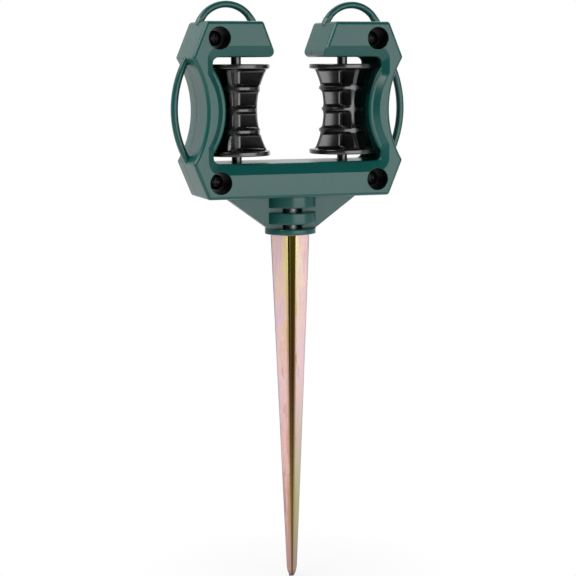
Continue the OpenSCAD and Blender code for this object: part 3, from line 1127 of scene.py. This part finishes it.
@dataclass
class Blade:
    """Ground blade, pressed from sheet with a groove down its middle.

    Attributes:
        top: Height of its upper edge.
        tip: Height of its point.
        width: Width at the upper edge.
        point_w: Width where the point begins.
        point_len: Length of the rounded point.
        point_share: Share of the point's round that is kept, so that its end has a little width.
        groove_w: Width of the groove at the upper edge.
        groove_depth: Depth of the groove at the upper edge.
        sweep: Distance that the flanges sweep back at the upper edge.
        sheet_t: Thickness of the sheet.
        bend_r: Radius of the bends at the upper edge.
        edge: Rounding of the sheared edges.
        edge_degrees: Edges flatter than this stay as they are.
        smooth_degrees: Edges sharper than this stay sharp in the shading.
        rows: Rows along the straight part.
        point_rows: Rows along the point.
        bend_steps: Steps round a bend.
        flange_shares: Places of the lines along a flange, from its edge to the groove.
        shade_taper: Power of the blade's taper by which the painted shade beside the groove narrows.
    """

    ACROSS: ClassVar[str] = "across"
    GROOVE_SHADE: ClassVar[str] = "groove"

    top: float
    tip: float
    width: float
    point_w: float = 6.4 * MM
    point_len: float = 8 * MM
    point_share: float = 0.98
    groove_w: float = 4.6 * MM
    groove_depth: float = 3.4 * MM
    sweep: float = 3 * MM
    sheet_t: float = 1.7 * MM
    bend_r: float = 0.7 * MM
    edge: float = 0.35 * MM
    edge_degrees: float = 50
    smooth_degrees: float = 35
    rows: int = 60
    point_rows: int = 14
    bend_steps: int = 5
    flange_shares: tuple[float, ...] = (0, 0.5, 0.8)
    shade_taper: float = 0.75

    def section(self) -> list[Vector]:
        """Draw the front line of the section at the upper edge.

        Returns:
            Points across the blade, with rounded bends.
        """
        corners = [
            Vector((-self.width / 2, self.sweep)),
            Vector((-self.groove_w / 2, 0)),
            Vector((0, self.groove_depth)),
            Vector((self.groove_w / 2, 0)),
            Vector((self.width / 2, self.sweep)),
        ]
        points = [corners[0].lerp(corners[1], u) for u in self.flange_shares]
        for before, corner, after in zip(corners, corners[1:], corners[2:]):
            start = corner + (before - corner).normalized() * self.bend_r
            end = corner + (after - corner).normalized() * self.bend_r
            for i in range(self.bend_steps + 1):
                u = i / self.bend_steps
                points.append(start * (1 - u) ** 2 + corner * (2 * u * (1 - u)) + end * u**2)
        return [*points, *(corners[-1].lerp(corners[-2], u) for u in reversed(self.flange_shares))]

    def levels(self) -> list[tuple[float, float]]:
        """List the rows of the blade from its upper edge to its point.

        Returns:
            Height of each row and its width as a share of the upper edge's.
        """
        shoulder = self.tip + self.point_len
        taper = self.point_w / self.width
        rows = []
        for i in range(self.rows):
            u = i / self.rows
            rows.append((self.top + (shoulder - self.top) * u, 1 + (taper - 1) * u))
        for i in range(self.point_rows + 1):
            u = self.point_share * math.sin(math.pi / 2 * i / self.point_rows)
            rows.append((shoulder - self.point_len * u, taper * math.sqrt(1 - u * u)))
        return rows

    def press(self, piece: Piece, section: list[Vector], levels: list[tuple[float, float]]) -> None:
        """Press a flat grid to the section at each level, and mark its film stripes and the groove's
        darker colour with its painted shade.

        Args:
            piece: Grid of a unit's size, with a column for each point and a row for each level.
            section: Points across the blade at the upper edge.
            levels: Height and share of each row.
        """
        across, groove = (
            piece.data.attributes.new(name, "FLOAT", "POINT") for name in (self.ACROSS, self.GROOVE_SHADE)
        )
        for vert in piece.data.vertices:
            point = section[round((0.5 + vert.co.x) * (len(section) - 1))]
            height, share = levels[round((0.5 - vert.co.y) * (len(levels) - 1))]
            lips = -(self.groove_depth * share + self.sheet_t) / 2
            vert.co = (point.x * share, lips + point.y * share, height)
            across.data[vert.index].value = 2 * point.x / self.width
            # Painted shade: the groove's darker colour reaches past the groove over the bends, where it
            # dims their highlights.
            shade_edge = self.groove_w / 2 * share**self.shade_taper + self.bend_r
            inside = (shade_edge - abs(point.x) * share) / self.bend_r
            groove.data[vert.index].value = max(0.0, min(1.0, inside))

    def build(self) -> Piece:
        """Model the blade from a flat grid, pressed to its section and given its sheet's thickness.

        Returns:
            The blade, with its place in its mesh.
        """
        section, levels = self.section(), self.levels()
        columns, rows = len(section) - 1, len(levels) - 1
        bpy.ops.object.select_all(action="DESELECT")
        bpy.ops.mesh.primitive_grid_add(x_subdivisions=columns, y_subdivisions=rows, size=1)
        piece = bpy.context.active_object
        piece.name = "ground_stake_pressing"
        self.press(piece, section, levels)
        with editing(piece):
            bpy.ops.mesh.select_all(action="SELECT")
            bpy.ops.mesh.normals_make_consistent(inside=False)
        facing = sum(face.normal.y for face in piece.data.polygons)
        if facing > 0:
            piece.data.flip_normals()
        apply_modifier(piece, "SOLIDIFY", thickness=self.sheet_t, offset=-1.0, use_even_offset=True)
        round_edges(piece, self.edge, self.edge_degrees)
        smooth(piece, self.smooth_degrees)
        return piece

    def dress(self, piece: Piece, material: Material) -> None:
        """Give the blade its finish and let it stand for its node."""
        seat(piece, "ground_stake", Body.STAKE, material)


@dataclass(frozen=True)
class Softbox:
    """Rectangular lamp that faces the head.

    Attributes:
        name: Name of the lamp.
        azimuth: Direction from the object in degrees, where 0 is the front and 90 the right.
        elevation: Height above the horizon in degrees.
        distance: Distance from the object.
        width: Width of its face.
        height: Height of its face.
        radiance: Brightness of its face, where 1 is white.
    """

    name: str
    azimuth: float
    elevation: float
    distance: float
    width: float
    height: float
    radiance: float

    def light(self, target: Vector) -> None:
        """Set the lamp up.

        Args:
            target: Point that it faces.
        """
        a, e = math.radians(self.azimuth), math.radians(self.elevation)
        way = Vector((math.sin(a) * math.cos(e), -math.cos(a) * math.cos(e), math.sin(e)))
        bpy.ops.object.light_add(type="AREA", location=target + way * self.distance)
        lamp = bpy.context.active_object
        lamp.name = self.name
        lamp.rotation_euler = way.to_track_quat("Z", "Y").to_euler()
        lamp.data.shape = "RECTANGLE"
        lamp.data.size = self.width
        lamp.data.size_y = self.height
        lamp.data.energy = self.radiance * math.pi * self.width * self.height


# A low lamp for the sheen of the front faces, a high one for the left sides and one for the rear edges.
SOFTBOXES = (
    Softbox("front_softbox", azimuth=23, elevation=2, distance=0.9, width=0.95, height=0.38, radiance=3),
    Softbox("left_softbox", azimuth=-85, elevation=42, distance=1.1, width=1.2, height=0.5, radiance=5.5),
    Softbox("rear_softbox", azimuth=170, elevation=45, distance=1.0, width=0.6, height=0.5, radiance=2.5),
)


@dataclass
class Studio:
    """White studio: a pale floor, a white backdrop, soft lamps and the camera.

    Attributes:
        floor_gap: Gap under the point, which keeps it off the floor.
        floor_y: Depth of the floor's middle.
        floor_r: Radius of the floor.
        floor_sides: Facets round the floor.
        floor_colour: Colour of its paint.
        floor_gloss: Roughness of its paint.
        fade: Distances from the point between which the floor fades into the backdrop.
        fade_from: Share of the backdrop's white where the fade begins.
        ambient: Brightness of the even light.
        lamps_to: Point that the lamps face.
        back_azimuth: Direction of the white wall in degrees, where 0 is the front and 90 the right.
        gloss_room: Greys that gloss sees, from the dark room in front at 0 to the white wall at 1.
        camera_at: Place of the camera.
        camera_to: Point that it looks at.
        roll: Turn of the picture in degrees.
        focal_px: Focal length in pixels of a square picture.
        picture_px: Side of that picture in pixels.
        sensor_mm: Width of the camera's sensor.
        clip: Nearest and farthest distance that the camera sees.
    """

    floor_gap: float = 0.2 * MM
    floor_y: float = -0.9
    floor_r: float = 1.4
    floor_sides: int = 96
    floor_colour: str = "EFEFEF"
    floor_gloss: float = 0.9
    fade: tuple[float, float] = (0.01, 0.1)
    fade_from: float = 0.75
    ambient: float = 0.32
    lamps_to: Vector = Vector((0, 0, 40)) * MM
    back_azimuth: float = 155
    gloss_room: tuple[tuple[float, str], ...] = (
        (0.38, "2A2A2A"),
        (0.52, "B8B8B8"),
        (0.85, "B8B8B8"),
        (0.98, WHITE),
    )
    camera_at: Vector = Vector((-281.43, -844.07, 96.12)) * MM
    camera_to: Vector = Vector((-1.5, 0, -31.63)) * MM
    roll: float = -0.24
    focal_px: float = 1569.25
    picture_px: float = 576
    sensor_mm: float = 36
    clip: tuple[float, float] = (0.01, 20)

    def camera(self) -> None:
        """Set up the camera at the photograph's angle."""
        bpy.ops.object.camera_add(location=self.camera_at)
        camera = bpy.context.active_object
        camera.name = "studio_camera"
        ahead = (self.camera_to - self.camera_at).normalized()
        roll = Matrix.Rotation(math.radians(self.roll), 3, "Z").to_quaternion()
        camera.rotation_euler = (ahead.to_track_quat("-Z", "Y") @ roll).to_euler()
        camera.data.sensor_width = self.sensor_mm
        camera.data.lens = self.focal_px / self.picture_px * self.sensor_mm
        camera.data.clip_start, camera.data.clip_end = self.clip
        bpy.context.scene.camera = camera

    def world(self) -> None:
        """Make the backdrop: white to the eye, white behind and dim in front to gloss, else even."""
        world = bpy.data.worlds.new("white_studio")
        bpy.context.scene.world = world
        world.use_nodes = True
        tree = world.node_tree
        background = tree.nodes["Background"]
        background.inputs["Color"].default_value = linear(WHITE)
        path = add_node(tree, "LightPath").outputs
        way = add_node(tree, "TexCoord").outputs["Generated"]
        back = math.radians(self.back_azimuth)
        wall = {"operation": "DOT_PRODUCT", 1: (math.sin(back), -math.cos(back), 0)}
        depth = add_node(tree, "VectorMath", wall, {0: way})
        turn = add_node(tree, "MapRange", {"From Min": -1.0}, {"Value": depth})
        mirrored = add_node(tree, "ValToRGB", links={"Fac": turn})
        set_ramp(mirrored, self.gloss_room)
        rays = {0: path["Is Glossy Ray"], 1: path["Is Transmission Ray"]}
        shiny = add_node(tree, "Math", {"operation": "MAXIMUM"}, rays)
        gloss = add_node(tree, "Mix", {"A": self.ambient}, {"Factor": shiny, "B": mirrored})
        seen = add_node(tree, "Mix", {"B": 1.0}, {"Factor": path["Is Camera Ray"], "A": gloss})
        feed(tree, background, {"Strength": seen})

    def paint(self) -> Material:
        """Make the floor's paint.

        Returns:
            Dull pale paint that fades into the white backdrop away from the point.
        """
        constants = {
            "Base Color": linear(self.floor_colour),
            "Roughness": self.floor_gloss,
            "Specular IOR Level": 0.0,
        }
        material, shader = new_material("pale_floor_paint", constants)
        tree = material.node_tree
        place = add_node(tree, "TexCoord").outputs["Object"]
        level = add_node(tree, "VectorMath", {"operation": "MULTIPLY", 1: (1, 1, 0)}, {0: place})
        away = add_node(tree, "VectorMath", {"operation": "LENGTH"}, {0: level})
        near, far = self.fade
        span = {"From Min": near, "From Max": far, "To Min": self.fade_from, "To Max": 1.0}
        fade = add_node(tree, "MapRange", span, {"Value": away})
        path = add_node(tree, "LightPath").outputs
        rays = {0: path["Is Camera Ray"], 1: path["Is Glossy Ray"]}
        seen = add_node(tree, "Math", {"operation": "MAXIMUM"}, rays)
        share = add_node(tree, "Math", {"operation": "MULTIPLY"}, {0: fade, 1: seen})
        white = add_node(tree, "Emission", {"Color": linear(WHITE), "Strength": 1.0})
        mixed = add_node(tree, "MixShader", links={0: share, 1: shader, 2: white})
        feed(tree, tree.nodes["Material Output"], {"Surface": mixed})
        return material

    def floor(self) -> None:
        """Lay a pale floor that shows round the foot."""
        sides, radius = self.floor_sides, self.floor_r
        bpy.ops.mesh.primitive_circle_add(vertices=sides, radius=radius, fill_type="NGON")
        floor = bpy.context.active_object
        floor.name = "studio_floor"
        floor.location = (0, self.floor_y, CAD_BOX[0].z - self.floor_gap)
        bpy.ops.object.transform_apply(location=True, rotation=True, scale=True)
        floor.data.materials.append(self.paint())

    def build(self) -> None:
        """Set up the floor, the backdrop, the lamps and the camera."""
        bpy.context.scene.view_settings.view_transform = "Standard"
        self.floor()
        self.world()
        for lamp in SOFTBOXES:
            lamp.light(self.lamps_to)
        self.camera()


def build_head(sky: OpenSky, green: Material) -> None:
    """Build the two halves of the head.

    Args:
        sky: Tells which edges are in the open.
        green: Finish of the halves.
    """
    front_low, front_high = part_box("front_housing")
    rear_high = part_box("rear_housing")[1]
    wells = [sum(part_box(f"{row}_{side}_screw"), Vector()) / 2 for row in ROWS for side in SIDES]
    for node, face_y in (("front_housing", front_low.y), ("rear_housing", rear_high.y)):
        half = HousingHalf(node, face_y, front_high.y, wells, sky)
        half.dress(half.build(), green)


def build_rollers(black: Material) -> None:
    """Build the two rollers from one model.

    Args:
        black: Finish of the rollers.
    """
    low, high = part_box("left_roller")
    axes = {joint["child"]: Vector(joint["pos_m"]) for joint in frame["joints"]}
    roller = Roller(reach=high.z - low.z, flange_r=(high.x - low.x) / 2)
    model = roller.build()
    # The fins of the two rollers stand at different turns, in degrees.
    turns = {"left_roller": (Body.LEFT_ROLLER, -31), "right_roller": (Body.RIGHT_ROLLER, 10.5)}
    for node, (body, turn) in turns.items():
        roller.dress(roller.place(model, node, axes[body.value], turn), node, body, black)
    bpy.data.objects.remove(model)


def build_hardware(steel: Material, zinc: Material) -> None:
    """Build the screws and the pivot post.

    Args:
        steel: Finish of the screws.
        zinc: Finish of the post.
    """
    for row in ROWS:
        for side in SIDES:
            screw = Hardware(f"{row}_{side}_screw", Body.HEAD, Slot.STEEL, edge_mm=0.2)
            screw.dress(screw.build(), steel)
    post = Hardware("pivot_post", Body.STAKE, Slot.ZINC, edge_mm=0.3)
    post.dress(post.build(), zinc)


def build_blade(zinc: Material) -> None:
    """Build the ground blade.

    Args:
        zinc: Finish of the blade.
    """
    low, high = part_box("ground_stake")
    tip_slack = 0.3 * MM  # The back of the sheet reaches a little below its front line.
    blade = Blade(top=high.z, tip=low.z + tip_slack, width=high.x - low.x)
    blade.dress(blade.build(), zinc)


def main() -> None:
    """Build the pieces and the studio."""
    logging.basicConfig(level=logging.INFO, format="%(name)s: %(message)s")
    build_head(OpenSky(["front_housing", "rear_housing"]), GREEN_PLASTIC.material())
    build_rollers(BLACK_PLASTIC.material())
    build_hardware(SCREW_STEEL.material(), POST_ZINC.material())
    build_blade(YELLOW_ZINC.material())
    Studio().build()


if __name__ == "__main__":
    main()
